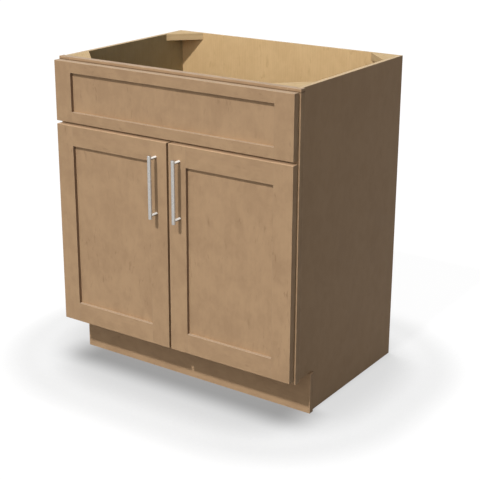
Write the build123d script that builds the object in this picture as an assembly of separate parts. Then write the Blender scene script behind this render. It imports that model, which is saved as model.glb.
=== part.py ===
from build123d import *
import math
import os

# Vanity sink base cabinet. A framed plywood carcass stands on notched sides and is open at the
# top for a sink. A fixed false drawer front and a pair of frame-and-panel doors lie over its
# face frame. The doors swing on single-pivot cup hinges, and each door has a bar pull.
# Millimetres. X runs to the right, Y to the rear and Z up. The origin lies on the floor, under
# the middle of the overall box.

# Overall sizes, with the depth taken from the face frame's front to the rear edges
CABINET_WIDTH = 762.0
CABINET_HEIGHT = 876.3
CABINET_DEPTH = 533.4

# Carcass boards
SIDE_THICKNESS = 12.7
FLOOR_THICKNESS = 12.7
BACK_THICKNESS = 9.5
DADO_DEPTH = 6.35

# Toe kick
TOE_KICK_HEIGHT = 114.3
TOE_KICK_RECESS = 76.2
TOE_KICK_THICKNESS = 15.9
SUB_TOE_THICKNESS = 12.7

# Corner blocks, with a hole in each for the countertop's screw
BLOCK_THICKNESS = 19.05
BLOCK_LEG = 78.0
BLOCK_TIP = 0.8
BLOCK_HOLE_RADIUS = 3.0
BLOCK_HOLE_INSET = 25.0

# Face frame, doweled at its joints
FRAME_THICKNESS = 19.05
FRAME_STILE_WIDTH = 38.1
FRAME_TOP_RAIL_WIDTH = 38.1
FRAME_MID_RAIL_WIDTH = 38.1
FRAME_BOTTOM_RAIL_WIDTH = 38.1
FRAME_OVERHANG = 6.35
FRAME_GROOVE_DEPTH = 6.35
FRAME_EDGE_ROUND = 1.0
DOWEL_RADIUS = 4.0
DOWEL_LENGTH = 34.0
DOWEL_SPACING = 18.0

# Doors and false front
FRONT_THICKNESS = 19.05
EDGE_REVEAL = 3.25
TOP_REVEAL = 7.4
BOTTOM_REVEAL = 10.4
FRONT_SPACING = 9.0
CENTRE_GAP = 6.35
FALSE_FRONT_HEIGHT = 165.1
FRONT_STILE_WIDTH = 55.5
DOOR_RAIL_WIDTH = 55.5
FALSE_FRONT_RAIL_WIDTH = 29.0
PANEL_THICKNESS = 6.35
PANEL_RECESS = 9.5
PANEL_FLOAT = 0.8
FRONT_GROOVE_DEPTH = 9.5
FRONT_EDGE_ROUND = 1.0

# False front fixings
FALSE_FRONT_SCREW_INSET = 160.0
FALSE_FRONT_SCREW_GRIP = 10.0
PAD_INSET = 40.0
PAD_RADIUS = 5.0

# Door bumpers
BUMPER_INSET = 16.0
BUMPER_RADIUS = 5.0
BUMPER_CHAMFER = 1.0
BUMPER_CLEARANCE = 0.2

# Bar pulls
PULL_BAR_RADIUS = 5.0
PULL_BAR_LENGTH = 171.0
PULL_BAR_CHAMFER = 0.8
PULL_POST_RADIUS = 3.6
PULL_POST_SPACING = 152.4
PULL_POST_SOCKET = 4.0
PULL_PROJECTION = 31.5
PULL_EDGE_INSET = 34.9
PULL_TOP_INSET = 118.2
PULL_SCREW_GRIP = 11.0

# Cup hinges
HINGE_INSET = 90.0
CUP_RADIUS = 17.5
CUP_DEPTH = 12.0
CUP_WALL = 0.8
CUP_FLOOR = 0.8
CUP_EDGE = 4.0
FLANGE_THICKNESS = 1.2
FLANGE_RIM = 1.5
EAR_WIDTH = 11.0
EAR_OFFSET = 9.5
CUP_SCREW_SPACING = 45.0
CUP_SCREW_GRIP = 11.0
PIVOT_RIM = 4.0
PIVOT_DEPTH = 8.0
SWING_CLEARANCE = 1.5
PIN_RADIUS = 1.25
PIN_LENGTH = 18.0
PIN_CLEARANCE = 0.05
EYE_RADIUS = 2.2
ARM_WIDTH = 9.0
ARM_THICKNESS = 1.6
ARM_CLEARANCE = 0.3
ARM_BEND = 1.2
NECK_OFFSET = 8.0
PLATE_LENGTH = 40.0
PLATE_WIDTH = 16.0
PLATE_CORNER = 4.0
PLATE_SCREW_SPACING = 26.0
PLATE_SCREW_GRIP = 14.0

# Screws
WOOD_SCREW_RADIUS = 1.8
WOOD_SCREW_HEAD_RADIUS = 3.6
WOOD_SCREW_HEAD_HEIGHT = 2.0
MACHINE_SCREW_RADIUS = 2.0
MACHINE_SCREW_HEAD_RADIUS = 4.2
MACHINE_SCREW_HEAD_HEIGHT = 2.4
SCREW_CLEARANCE = 0.25
HEAD_ROUND = 0.9
DRIVE_LENGTH = 4.2
DRIVE_WIDTH = 1.0
DRIVE_DEPTH = 1.2

# Hinge layout, measured from the door's outer edge and from its back face into the door
cup_x = CUP_EDGE + CUP_RADIUS
pivot_x = CUP_EDGE + PIVOT_RIM
arm_deep = CUP_DEPTH - CUP_FLOOR - ARM_CLEARANCE
neck_x = cup_x + NECK_OFFSET
overlay = FRAME_STILE_WIDTH - EDGE_REVEAL

# The door's back corner needs this much room in front of the face frame to swing past it
standoff = math.hypot(pivot_x, PIVOT_DEPTH) - PIVOT_DEPTH + SWING_CLEARANCE

# Planes across the depth
overall_depth = CABINET_DEPTH + standoff + FRONT_THICKNESS + PULL_PROJECTION
rear_y = overall_depth / 2
back_front_y = rear_y - BACK_THICKNESS
frame_front_y = rear_y - CABINET_DEPTH
frame_back_y = frame_front_y + FRAME_THICKNESS
frame_groove_y = frame_back_y - FRAME_GROOVE_DEPTH
toe_front_y = frame_front_y + TOE_KICK_RECESS
toe_back_y = toe_front_y + TOE_KICK_THICKNESS
front_back_y = frame_front_y - standoff
front_face_y = front_back_y - FRONT_THICKNESS
pull_y = front_face_y - PULL_PROJECTION + PULL_BAR_RADIUS

# Planes across the width
half_width = CABINET_WIDTH / 2
side_outer_x = half_width - FRAME_OVERHANG
side_inner_x = side_outer_x - SIDE_THICKNESS
dado_x = side_inner_x + DADO_DEPTH
frame_inner_x = half_width - FRAME_STILE_WIDTH
front_outer_x = half_width - EDGE_REVEAL
door_inner_x = CENTRE_GAP / 2
pull_x = door_inner_x + PULL_EDGE_INSET

# Levels
floor_top_z = TOE_KICK_HEIGHT + FRAME_BOTTOM_RAIL_WIDTH
floor_under_z = floor_top_z - FLOOR_THICKNESS
false_front_top_z = CABINET_HEIGHT - TOP_REVEAL
false_front_bottom_z = false_front_top_z - FALSE_FRONT_HEIGHT
door_top_z = false_front_bottom_z - FRONT_SPACING
door_bottom_z = TOE_KICK_HEIGHT + BOTTOM_REVEAL
mid_rail_z = (false_front_bottom_z + door_top_z) / 2
mid_rail_bottom_z = mid_rail_z - FRAME_MID_RAIL_WIDTH / 2
mid_rail_top_z = mid_rail_z + FRAME_MID_RAIL_WIDTH / 2
top_rail_bottom_z = CABINET_HEIGHT - FRAME_TOP_RAIL_WIDTH
pull_z = door_top_z - PULL_TOP_INSET
hinge_levels = (door_bottom_z + HINGE_INSET, door_top_z - HINGE_INSET)

# Levels where the fronts' rails lie over the face frame's rails
false_front_opening = (
    min(mid_rail_top_z, false_front_bottom_z + FALSE_FRONT_RAIL_WIDTH),
    max(top_rail_bottom_z, false_front_top_z - FALSE_FRONT_RAIL_WIDTH),
)
lower_fixing_z = (false_front_bottom_z + false_front_opening[0]) / 2
upper_fixing_z = (false_front_opening[1] + false_front_top_z) / 2
bumper_levels = ((door_bottom_z + floor_top_z) / 2, (mid_rail_bottom_z + door_top_z) / 2)

SAME_PLACE = 0.001


def block(x_range, y_range, z_range):
    """Returns the box between three pairs of coordinates."""
    ranges = (x_range, y_range, z_range)
    sizes = [abs(end - start) for start, end in ranges]
    middles = [(start + end) / 2 for start, end in ranges]
    return Pos(*middles) * Box(*sizes)


def rod(radius, start, end):
    """Returns the round rod from one point to another."""
    path = Vector(*end) - Vector(*start)
    return Solid.make_cylinder(radius, path.length, Plane(origin=start, z_dir=path))


def symmetric(reach):
    """Returns the range that reaches equally far to both sides of the middle."""
    return (-reach, reach)


def mirrored(shape):
    """Returns the right-hand copy of a left-hand shape."""
    return mirror(shape, about=Plane.YZ)


def rim(shape, centre):
    """Returns the circular edge of a shape whose centre is nearest to a point."""
    circles = shape.edges().filter_by(GeomType.CIRCLE)
    return min(circles, key=lambda edge: (edge.arc_center - Vector(*centre)).length)


def screw(seat, inward, length, radius, head_radius, head_height):
    """Returns a pan-head screw whose head stands on the seat and whose shank runs inward.

    The head's crown is rounded and has a cross recess for the driver.
    """
    direction = Vector(*inward)
    base = Vector(*seat)
    crown = base - direction * head_height
    head = rod(head_radius, crown, base)
    head = fillet(rim(head, crown), HEAD_ROUND)
    cross = Box(DRIVE_LENGTH, DRIVE_WIDTH, 2 * DRIVE_DEPTH) + Box(DRIVE_WIDTH, DRIVE_LENGTH, 2 * DRIVE_DEPTH)
    head -= Plane(origin=crown, z_dir=direction) * cross
    return head + rod(radius, base, base + direction * length)


def wood_screw(seat, inward, length):
    """Returns a pan-head wood screw."""
    return screw(seat, inward, length, WOOD_SCREW_RADIUS, WOOD_SCREW_HEAD_RADIUS, WOOD_SCREW_HEAD_HEIGHT)


def side_panel():
    """Returns the left side: a notch for the toe kick, a dado for the floor, a rabbet for the back."""
    skin = (-side_outer_x, -side_inner_x)
    dado = (-dado_x, -side_inner_x)
    panel = block(skin, (frame_groove_y, rear_y), (0, CABINET_HEIGHT))
    panel -= block(skin, (frame_groove_y, toe_back_y), (0, TOE_KICK_HEIGHT))
    panel -= block(dado, (frame_back_y, back_front_y), (floor_under_z, floor_top_z))
    panel -= block(dado, (back_front_y, rear_y), (floor_under_z, CABINET_HEIGHT))
    return panel


def floor_panel():
    """Returns the floor, housed in the sides and rabbeted into the frame's bottom rail."""
    level = (floor_under_z, floor_top_z)
    panel = block(symmetric(dado_x), (frame_back_y, back_front_y), level)
    return panel + block(symmetric(frame_inner_x), (frame_groove_y, frame_back_y), level)


def corner_block(corner_y, inward):
    """Returns a left corner block with blunt tips; inward is 1 at the front and -1 at the rear."""
    outline = [(0, 0), (BLOCK_LEG, 0), (BLOCK_LEG, BLOCK_TIP), (BLOCK_TIP, BLOCK_LEG), (0, BLOCK_LEG)]
    bottom_z = CABINET_HEIGHT - BLOCK_THICKNESS
    points = [(across - side_inner_x, corner_y + inward * along, bottom_z) for across, along in outline]
    prism = extrude(make_face(Polyline(*points, close=True)), BLOCK_THICKNESS, dir=(0, 0, 1))
    hole_x = BLOCK_HOLE_INSET - side_inner_x
    hole_y = corner_y + inward * BLOCK_HOLE_INSET
    return prism - rod(BLOCK_HOLE_RADIUS, (hole_x, hole_y, bottom_z), (hole_x, hole_y, CABINET_HEIGHT))


def carcass_nodes():
    """Returns the boards and the corner blocks behind the face frame."""
    side = side_panel()
    front_block = corner_block(frame_back_y, 1)
    rear_block = corner_block(back_front_y, -1)
    sub_toe_y = (toe_back_y, toe_back_y + SUB_TOE_THICKNESS)
    return {
        "left_side_panel": side,
        "right_side_panel": mirrored(side),
        "floor_panel": floor_panel(),
        "back_panel": block(symmetric(dado_x), (back_front_y, rear_y), (floor_under_z, CABINET_HEIGHT)),
        "toe_kick_board": block(symmetric(half_width), (toe_front_y, toe_back_y), (0, TOE_KICK_HEIGHT)),
        "sub_toe_rail": block(symmetric(side_inner_x), sub_toe_y, (0, floor_under_z)),
        "front_left_corner_block": front_block,
        "front_right_corner_block": mirrored(front_block),
        "rear_left_corner_block": rear_block,
        "rear_right_corner_block": mirrored(rear_block),
    }


def left_dowels():
    """Returns the dowels of the left stile, in pairs across its joints with the three rails."""
    levels = (
        TOE_KICK_HEIGHT + FRAME_BOTTOM_RAIL_WIDTH / 2,
        mid_rail_z,
        CABINET_HEIGHT - FRAME_TOP_RAIL_WIDTH / 2,
    )
    dowel_y = (frame_front_y + frame_groove_y) / 2
    ends = (-frame_inner_x - DOWEL_LENGTH / 2, -frame_inner_x + DOWEL_LENGTH / 2)
    dowels = []
    for level in levels:
        for offset in symmetric(DOWEL_SPACING / 2):
            start, end = [(x, dowel_y, level + offset) for x in ends]
            dowels.append(rod(DOWEL_RADIUS, start, end))
    return dowels


def left_plate_screws():
    """Returns the screws that hold the left hinges' plates to the stile's inner edge."""
    seat_x = ARM_THICKNESS - frame_inner_x
    seat_y = frame_front_y + PLATE_WIDTH / 2
    screws = []
    for level in hinge_levels:
        for offset in symmetric(PLATE_SCREW_SPACING / 2):
            seat = (seat_x, seat_y, level + offset)
            screws.append(wood_screw(seat, (-1, 0, 0), ARM_THICKNESS + PLATE_SCREW_GRIP))
    return screws


def false_front_fixings():
    """Returns the places, across and up, of the screws through the frame into the false front."""
    across = symmetric(front_outer_x - FALSE_FRONT_SCREW_INSET)
    return [(x, z) for x in across for z in (lower_fixing_z, upper_fixing_z)]


def frame_nodes():
    """Returns the face frame: stiles grooved over the sides, rails between them, and dowels."""
    whole_depth = (frame_front_y, frame_back_y)
    between = symmetric(frame_inner_x)
    stile = block((-half_width, -frame_inner_x), whole_depth, (TOE_KICK_HEIGHT, CABINET_HEIGHT))
    outer_edge = stile.edges().filter_by(Axis.Z).group_by(Axis.Y)[0].sort_by(Axis.X)[0]
    stile = fillet(outer_edge, FRAME_EDGE_ROUND)
    groove = (frame_groove_y, frame_back_y)
    stile -= block((-side_outer_x, -side_inner_x), groove, (TOE_KICK_HEIGHT, CABINET_HEIGHT))
    for fastener in left_plate_screws():
        stile -= fastener

    top_rail = block(between, whole_depth, (top_rail_bottom_z, CABINET_HEIGHT))
    mid_rail = block(between, whole_depth, (mid_rail_bottom_z, mid_rail_top_z))
    bottom_rail = block(between, whole_depth, (TOE_KICK_HEIGHT, floor_top_z))
    bottom_rail -= block(between, groove, (floor_under_z, floor_top_z))

    dowels = left_dowels()
    dowels += [mirrored(dowel) for dowel in dowels]
    for x, z in false_front_fixings():
        hole = rod(WOOD_SCREW_RADIUS + SCREW_CLEARANCE, (x, frame_front_y, z), (x, frame_back_y, z))
        top_rail -= hole
        mid_rail -= hole
    for dowel in dowels:
        stile -= dowel
        top_rail -= dowel
        mid_rail -= dowel
        bottom_rail -= dowel
    return {
        "frame_left_stile": stile,
        "frame_right_stile": mirrored(stile),
        "frame_top_rail": top_rail,
        "frame_mid_rail": mid_rail,
        "frame_bottom_rail": bottom_rail,
        "frame_dowels": Compound(dowels),
    }


def rounded(board, inner_sides):
    """Rounds a board's front edges, except those that meet other boards at the inner sides."""
    chosen = []
    for edge in board.edges():
        middle = edge.center()
        on_front = abs(middle.Y - front_face_y) < SAME_PLACE
        inner = any(abs(middle.dot(Vector(*axis)) - place) < SAME_PLACE for axis, place in inner_sides)
        if on_front and not inner:
            chosen.append(edge)
    return fillet(chosen, FRONT_EDGE_ROUND)


def framed_front(x_range, z_range, rail_width):
    """Returns two stiles, two rails and a panel that floats in the grooves along their inner edges.

    The rails' ends carry tongues that fill the stiles' grooves above and below the panel.
    """
    left, right = x_range
    bottom, top = z_range
    depth = (front_face_y, front_back_y)
    groove = (front_face_y + PANEL_RECESS, front_face_y + PANEL_RECESS + PANEL_THICKNESS)
    left_inner = left + FRONT_STILE_WIDTH
    right_inner = right - FRONT_STILE_WIDTH
    bottom_inner = bottom + rail_width
    top_inner = top - rail_width
    across = (1, 0, 0)
    up = (0, 0, 1)

    left_stile = rounded(block((left, left_inner), depth, z_range), [(across, left_inner)])
    left_stile -= block((left_inner - FRONT_GROOVE_DEPTH, left_inner), groove, z_range)
    right_stile = rounded(block((right_inner, right), depth, z_range), [(across, right_inner)])
    right_stile -= block((right_inner, right_inner + FRONT_GROOVE_DEPTH), groove, z_range)

    rails = []
    for outer, inner, inward in ((bottom, bottom_inner, 1), (top, top_inner, -1)):
        ends = [(across, left_inner), (across, right_inner), (up, inner)]
        rail = rounded(block((left_inner, right_inner), depth, (outer, inner)), ends)
        with_tongues = (left_inner - FRONT_GROOVE_DEPTH, right_inner + FRONT_GROOVE_DEPTH)
        rail += block(with_tongues, groove, (outer, inner))
        rail -= block(with_tongues, groove, (inner - inward * FRONT_GROOVE_DEPTH, inner))
        rails.append(rail)

    housed = FRONT_GROOVE_DEPTH - PANEL_FLOAT
    panel_x = (left_inner - housed, right_inner + housed)
    panel_z = (bottom_inner - housed, top_inner + housed)
    return {
        "left_stile": left_stile,
        "right_stile": right_stile,
        "bottom_rail": rails[0],
        "top_rail": rails[1],
        "panel": block(panel_x, groove, panel_z),
    }


def false_front_nodes():
    """Returns the false drawer front, its spacer pads and the screws that come through the frame."""
    x_range = symmetric(front_outer_x)
    pieces = framed_front(x_range, (false_front_bottom_z, false_front_top_z), FALSE_FRONT_RAIL_WIDTH)
    length = FRAME_THICKNESS + standoff + FALSE_FRONT_SCREW_GRIP
    screws = [wood_screw((x, frame_back_y, z), (0, -1, 0), length) for x, z in false_front_fixings()]
    for fastener in screws:
        pieces["bottom_rail"] -= fastener
        pieces["top_rail"] -= fastener
    pads = []
    for x in symmetric(front_outer_x - PAD_INSET):
        for z in (lower_fixing_z, upper_fixing_z):
            pads.append(rod(PAD_RADIUS, (x, front_back_y, z), (x, frame_front_y, z)))
    nodes = {f"false_front_{name}": piece for name, piece in pieces.items()}
    nodes["false_front_screws"] = Compound(screws)
    nodes["false_front_pads"] = Compound(pads)
    return nodes


def door_point(from_edge, into_door, z):
    """Returns the place of a point of the left door's hinges, as the hinge layout measures it."""
    return (from_edge - front_outer_x, front_back_y - into_door, z)


def door_block(edge_range, depth_range, z_range):
    """Returns a box of the left door's hinges, as the hinge layout measures it."""
    low = door_point(edge_range[0], depth_range[0], z_range[0])
    high = door_point(edge_range[1], depth_range[1], z_range[1])
    return block(*zip(low, high))


def around(level, size):
    """Returns the range of a size centred on a level."""
    return (level - size / 2, level + size / 2)


def cup_screws(level):
    """Returns the two screws of a cup, whose heads stand on the flange's ears."""
    seats = [door_point(cup_x + EAR_OFFSET, -FLANGE_THICKNESS, z) for z in around(level, CUP_SCREW_SPACING)]
    return [wood_screw(seat, (0, -1, 0), FLANGE_THICKNESS + CUP_SCREW_GRIP) for seat in seats]


def hinge_pin(level):
    """Returns the pin that a cup carries."""
    low, high = around(level, PIN_LENGTH)
    return rod(PIN_RADIUS, door_point(pivot_x, PIVOT_DEPTH, low), door_point(pivot_x, PIVOT_DEPTH, high))


def cup_bore(level, radius):
    """Returns a round plug of the cup's depth, centred on the cup."""
    return rod(radius, door_point(cup_x, 0, level), door_point(cup_x, CUP_DEPTH, level))


def hinge_cup(level):
    """Returns a cup with its flange, a slot for the arm, and holes for the pin and the screws."""
    flange_radius = CUP_RADIUS + FLANGE_RIM
    flange_depth = (-FLANGE_THICKNESS, 0)
    ear_edge = around(cup_x + EAR_OFFSET, EAR_WIDTH)
    cup = cup_bore(level, CUP_RADIUS)
    cup += rod(flange_radius, door_point(cup_x, -FLANGE_THICKNESS, level), door_point(cup_x, 0, level))
    cup += door_block(ear_edge, flange_depth, around(level, CUP_SCREW_SPACING))
    for z in around(level, CUP_SCREW_SPACING):
        ear = [door_point(cup_x + EAR_OFFSET, depth, z) for depth in flange_depth]
        cup += rod(EAR_WIDTH / 2, *ear)
    slot_depth = (-FLANGE_THICKNESS, CUP_DEPTH - CUP_FLOOR)
    slot = rod(CUP_RADIUS - CUP_WALL, *[door_point(cup_x, depth, level) for depth in slot_depth])
    slot_width = around(level, ARM_WIDTH + 2 * ARM_CLEARANCE)
    slot &= door_block(around(cup_x, 2 * CUP_RADIUS), slot_depth, slot_width)
    cup -= slot
    cup -= hinge_pin(level)
    for fastener in cup_screws(level):
        cup -= fastener
    return cup


def upright_edges(shape, place):
    """Returns the upright edges of a shape whose middle is at a place."""
    upright = shape.edges().filter_by(Axis.Z)
    return [edge for edge in upright if (edge.center() - Vector(*place)).length < SAME_PLACE]


def hinge_arm(level):
    """Returns a bent arm: an eye on the pin, a neck out of the cup, a lip over the frame's front
    and a plate along the stile's inner edge."""
    across = around(level, ARM_WIDTH)
    arm_back = arm_deep - ARM_THICKNESS
    lip_back = ARM_THICKNESS - standoff
    neck_end = neck_x + ARM_THICKNESS
    plate_end = overlay + ARM_THICKNESS
    low, high = across
    arm = rod(EYE_RADIUS, door_point(pivot_x, PIVOT_DEPTH, low), door_point(pivot_x, PIVOT_DEPTH, high))
    arm += door_block((pivot_x, neck_end), (arm_back, arm_deep), across)
    arm += door_block((neck_x, neck_end), (-standoff, arm_deep), across)
    arm += door_block((min(neck_x, overlay), max(neck_end, plate_end)), (-standoff, lip_back), across)
    arm += door_block((overlay, plate_end), (-standoff - PLATE_WIDTH, lip_back), across)
    bends = [door_point(neck_end, arm_deep, level), door_point(plate_end, lip_back, level)]
    arm = fillet([edge for place in bends for edge in upright_edges(arm, place)], ARM_BEND)
    plate_depth = (-standoff - PLATE_WIDTH, -standoff)
    plate = door_block((overlay, plate_end), plate_depth, around(level, PLATE_LENGTH))
    arm += fillet(plate.edges().filter_by(Axis.X), PLATE_CORNER)
    bore = [door_point(pivot_x, PIVOT_DEPTH, z) for z in across]
    arm -= rod(PIN_RADIUS + PIN_CLEARANCE, *bore)
    for fastener in left_plate_screws():
        arm -= fastener
    return arm


def pull_nodes():
    """Returns the left pull: a bar, two posts housed in it, and the screws from the door's back."""
    levels = around(pull_z, PULL_POST_SPACING)
    socket_y = pull_y + PULL_BAR_RADIUS - PULL_POST_SOCKET
    low, high = around(pull_z, PULL_BAR_LENGTH)
    bar = rod(PULL_BAR_RADIUS, (-pull_x, pull_y, low), (-pull_x, pull_y, high))
    bar = chamfer(bar.edges().filter_by(GeomType.CIRCLE), PULL_BAR_CHAMFER)
    posts = []
    screws = []
    for z in levels:
        screw_length = FRONT_THICKNESS + PULL_SCREW_GRIP
        fastener = screw(
            (-pull_x, front_back_y, z),
            (0, -1, 0),
            screw_length,
            MACHINE_SCREW_RADIUS,
            MACHINE_SCREW_HEAD_RADIUS,
            MACHINE_SCREW_HEAD_HEIGHT,
        )
        post = rod(PULL_POST_RADIUS, (-pull_x, front_face_y, z), (-pull_x, socket_y, z))
        bar -= post
        posts.append(post - fastener)
        screws.append(fastener)
    return {"pull_bar": bar, "pull_posts": Compound(posts), "pull_screws": Compound(screws)}


def door_nodes():
    """Returns the left door with its pull, its bumpers, and its hinges' cups, pins and screws."""
    pieces = framed_front((-front_outer_x, -door_inner_x), (door_bottom_z, door_top_z), DOOR_RAIL_WIDTH)
    hinge_stile = pieces["left_stile"]
    lock_stile = pieces["right_stile"]
    fasteners = []
    for level in hinge_levels:
        hinge_stile -= cup_bore(level, CUP_RADIUS)
        for fastener in cup_screws(level):
            hinge_stile -= fastener
            fasteners.append(fastener)
    hole_radius = MACHINE_SCREW_RADIUS + SCREW_CLEARANCE
    for z in around(pull_z, PULL_POST_SPACING):
        lock_stile -= rod(hole_radius, (-pull_x, front_face_y, z), (-pull_x, front_back_y, z))
    bumper_x = -door_inner_x - BUMPER_INSET
    bumper_end = frame_front_y - BUMPER_CLEARANCE
    bumpers = []
    for z in bumper_levels:
        tip = (bumper_x, bumper_end, z)
        bumper = rod(BUMPER_RADIUS, (bumper_x, front_back_y, z), tip)
        bumpers.append(chamfer(rim(bumper, tip), BUMPER_CHAMFER))
    lower_level, upper_level = hinge_levels
    nodes = {
        "door_hinge_stile": hinge_stile,
        "door_lock_stile": lock_stile,
        "door_bottom_rail": pieces["bottom_rail"],
        "door_top_rail": pieces["top_rail"],
        "door_panel": pieces["panel"],
        "door_bumpers": Compound(bumpers),
        "lower_hinge_cup": hinge_cup(lower_level),
        "upper_hinge_cup": hinge_cup(upper_level),
        "hinge_pins": Compound([hinge_pin(level) for level in hinge_levels]),
        "hinge_cup_screws": Compound(fasteners),
    }
    nodes.update(pull_nodes())
    return nodes


def hinge_frame_nodes():
    """Returns the hinge arms on both frame stiles, and all their screws."""
    nodes = {}
    for name, level in zip(("lower", "upper"), hinge_levels):
        arm = hinge_arm(level)
        nodes[f"left_{name}_hinge_arm"] = arm
        nodes[f"right_{name}_hinge_arm"] = mirrored(arm)
    screws = left_plate_screws()
    nodes["hinge_plate_screws"] = Compound(screws + [mirrored(fastener) for fastener in screws])
    return nodes


def all_nodes():
    """Returns every node of the cabinet by its name."""
    nodes = {}
    nodes.update(carcass_nodes())
    nodes.update(frame_nodes())
    nodes.update(false_front_nodes())
    nodes.update(hinge_frame_nodes())
    for name, piece in door_nodes().items():
        nodes[f"left_{name}"] = piece
        nodes[f"right_{name}"] = mirrored(piece)
    return nodes


os.makedirs("parts", exist_ok=True)
for node_name, node_shape in all_nodes().items():
    export_step(node_shape, f"parts/{node_name}.step")
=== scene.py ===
import bpy
import math
import numpy as np
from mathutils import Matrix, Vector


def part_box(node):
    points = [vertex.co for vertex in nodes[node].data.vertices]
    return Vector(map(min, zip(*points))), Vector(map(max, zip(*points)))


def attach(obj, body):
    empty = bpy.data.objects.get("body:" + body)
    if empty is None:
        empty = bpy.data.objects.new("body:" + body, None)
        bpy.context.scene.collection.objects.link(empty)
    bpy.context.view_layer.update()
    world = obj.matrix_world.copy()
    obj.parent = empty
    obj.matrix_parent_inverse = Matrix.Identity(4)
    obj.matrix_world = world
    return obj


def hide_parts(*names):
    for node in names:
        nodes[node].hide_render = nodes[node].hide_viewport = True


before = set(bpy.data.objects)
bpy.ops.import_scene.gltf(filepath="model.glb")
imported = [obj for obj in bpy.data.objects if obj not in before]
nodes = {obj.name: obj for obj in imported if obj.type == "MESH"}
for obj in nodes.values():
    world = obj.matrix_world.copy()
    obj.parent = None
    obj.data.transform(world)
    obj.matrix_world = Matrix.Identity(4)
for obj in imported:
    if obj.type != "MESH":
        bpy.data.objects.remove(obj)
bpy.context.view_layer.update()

# Vanity sink base: stained maple fronts and face frame, a carcass of natural plywood with stained
# outer skins, bar pulls of satin nickel. Metres; X to the right, Y to the rear, Z up.

MILLIMETRE = 0.001
QUARTER_TURN = math.pi / 2

# Camera
CAMERA_PLACE = (1.7650, -2.5198, 1.4383)
CAMERA_AZIMUTH = math.radians(34.996)
CAMERA_DROP = math.radians(18.289)
CAMERA_LENS = 86.977
CAMERA_SENSOR = 36.0
CAMERA_SHIFT = (0.02827, -0.04415)

# Lamps: the key is high in front, the front fill low and broad, the side fill to the right, and the
# rear fill behind on the left
KEY_ELEVATION = math.radians(46.9)
KEY_AZIMUTH = math.radians(-0.3)
KEY_SPREAD = math.radians(2.5)
KEY_STRENGTH = 2.40
FRONT_FILL_ELEVATION = math.radians(12)
FRONT_FILL_SPREAD = math.radians(80)
FRONT_FILL_STRENGTH = 0.925
SIDE_FILL_ELEVATION = math.radians(18)
SIDE_FILL_AZIMUTH = math.radians(35)
SIDE_FILL_SPREAD = math.radians(30)
SIDE_FILL_STRENGTH = 0.30
REAR_FILL_ELEVATION = math.radians(50)
REAR_FILL_AZIMUTH = math.radians(215)
REAR_FILL_SPREAD = math.radians(60)
REAR_FILL_STRENGTH = 0.8
FILL_STRENGTH = 0.10

# Floor: its size, its own greys for scattered and for seen light, its glow, and its painted soft shadow
FLOOR_SEGMENTS = 96
FLOOR_REACH = 14.0
FLOOR_DROP = 0.0004
FLOOR_BOUNCE = 0.22
FLOOR_SEEN = 0.10
FLOOR_GLOW = 0.95
FLOOR_SHADOW_REACH = 0.30
FLOOR_SHADOW_SAMPLES = 16

# Around the cabinet's foot the floor keeps this least openness, eased in over so much of it, and the
# foot's outline is blurred over so many metres
LEAST_OPENNESS = 0.66
OPENNESS_EASING = 0.10
FOOT_BLUR = 0.01

# Two more painted soft shadows on the floor, a band under the fronts' overhang and a faint rim by the
# distance from the cabinet's foot: the share of light that each takes, and its sizes in metres
BAND_SHARE = 0.575
BAND_BLUR = 0.05
BAND_OUTSET = 0.075
RIM_SHARE = 0.08
RIM_START = 0.14
RIM_PEAK = 0.21
RIM_END = 0.32
RIM_ROUNDING = 0.20

# Bar pulls
BAR_SEGMENTS = 72
POST_SEGMENTS = 40
BAR_EASING = 0.8 * MILLIMETRE
BAR_CROWN = 0.25 * MILLIMETRE
POST_FOOT = 0.35 * MILLIMETRE
EASING_STEPS = 6

# Painted light on the bars' edges and on the posts' upper sides, which glow a little, with painted shade
# on the posts' undersides: where each sets in and is full, in radii from the axis, and how metallic
# bars and posts are
PAINTED_BAR_EDGE_GLOW = 0.13
BAR_EDGE_START = 0.4
BAR_EDGE_END = 0.9
BAR_METALLIC = 0.7
POST_PAINTED_GLOW = 0.52
POST_SHADE_END = -0.25
POST_LIGHT_START = 0.35
POST_METALLIC = 0.1

# Easing of the boards' and the hinges' sharp edges, its steps, the least angle that counts as sharp, and
# the distance within which corners are joined
BOARD_EASING = 0.35 * MILLIMETRE
STEEL_EASING = 0.2 * MILLIMETRE
BEVEL_STEPS = 2
EASING_ANGLE = math.radians(35)
WELD_REACH = 0.002 * MILLIMETRE

# Each board's pattern is moved by up to this much along each axis, in metres
PATTERN_REACH = 4.0
PATTERN_SEED = 11

# Specular level of the woods, where 0.5 is that of a clear coat
WOOD_GLOSS = 0.06

# Share of paler wood that shows on rubbed edges: of stained boards, of the face frame's stiles, whose
# higher share is partly a painted highlight, and of sawn boards
EDGE_WEAR = 0.35
STILE_WEAR_AND_HIGHLIGHT = 0.90
SAWN_WEAR = 0.30

# Share of pale colour painted on the upper faces of the frame, the false front, the doors and the
# ledges below their panels as a painted highlight, and how far down from a board's top it reaches
FRAME_TOP_HIGHLIGHT = 0.12
FRONT_TOP_HIGHLIGHT = 0.22
DOOR_TOP_HIGHLIGHT = 0.06
LEDGE_HIGHLIGHT = 0.36
TOP_FACE_DEPTH = 0.6 * MILLIMETRE

# Painted light: the doors' upper faces glow a little, standing for light that gathers in the gap
# between the false front and the doors' tops
PAINTED_GAP_GLOW = 0.50

# Painted shade on the frame along the top of the false front: its darkest share, and how far it reaches
CREVICE_SHADE_SHARE = 0.6
CREVICE_SHADE_RISE = 2.6 * MILLIMETRE

# Painted shade on the stiles' edges beside the panels, in the recesses: its share and its depth
RECESS_SHADE_SHARE = 0.5
RECESS_SHADE_DEPTH = 0.5 * MILLIMETRE

# Growth lines: the lean and the place of their heart, their wander in metres, and their sharpness
HEART_LEAN = (1.0, 1.0, 0.045)
HEART_PLACE = (0.16, 0.11, 0.0)
LINE_WANDER = 0.05
LINE_SHARPNESS = 3.0

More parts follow.
